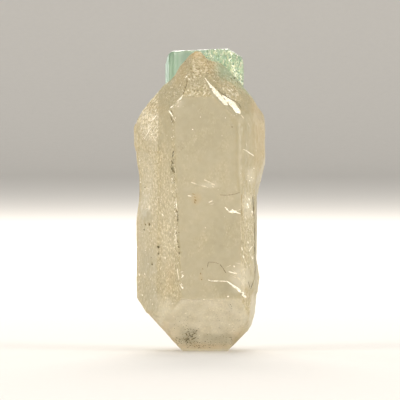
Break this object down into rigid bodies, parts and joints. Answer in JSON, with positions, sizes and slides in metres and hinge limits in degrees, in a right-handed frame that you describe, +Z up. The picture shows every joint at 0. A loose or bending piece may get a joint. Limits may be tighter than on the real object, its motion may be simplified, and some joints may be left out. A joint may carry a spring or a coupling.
{
  "type": "tourmaline in quartz",
  "caption": "Doubly terminated milky quartz crystal with a mint green tourmaline prism standing out of the back of its top.",
  "frame": {"origin": "centre of the small flat foot that the quartz stands on", "axes": "+Z up along the quartz's long axis, -Y out of its broad front face, +X to the right as seen from the front"},
  "size_m": [0.0313, 0.0264, 0.072],
  "materials": {
    "quartz": "cream, milky and translucent, with smooth and etched crystal faces",
    "tourmaline": "mint green, striated along its length, with a bright top"
  },
  "bodies": {
    "root": {"quartz_crystal": "quartz", "tourmaline_crystal": "tourmaline"}
  },
  "joints": []
}
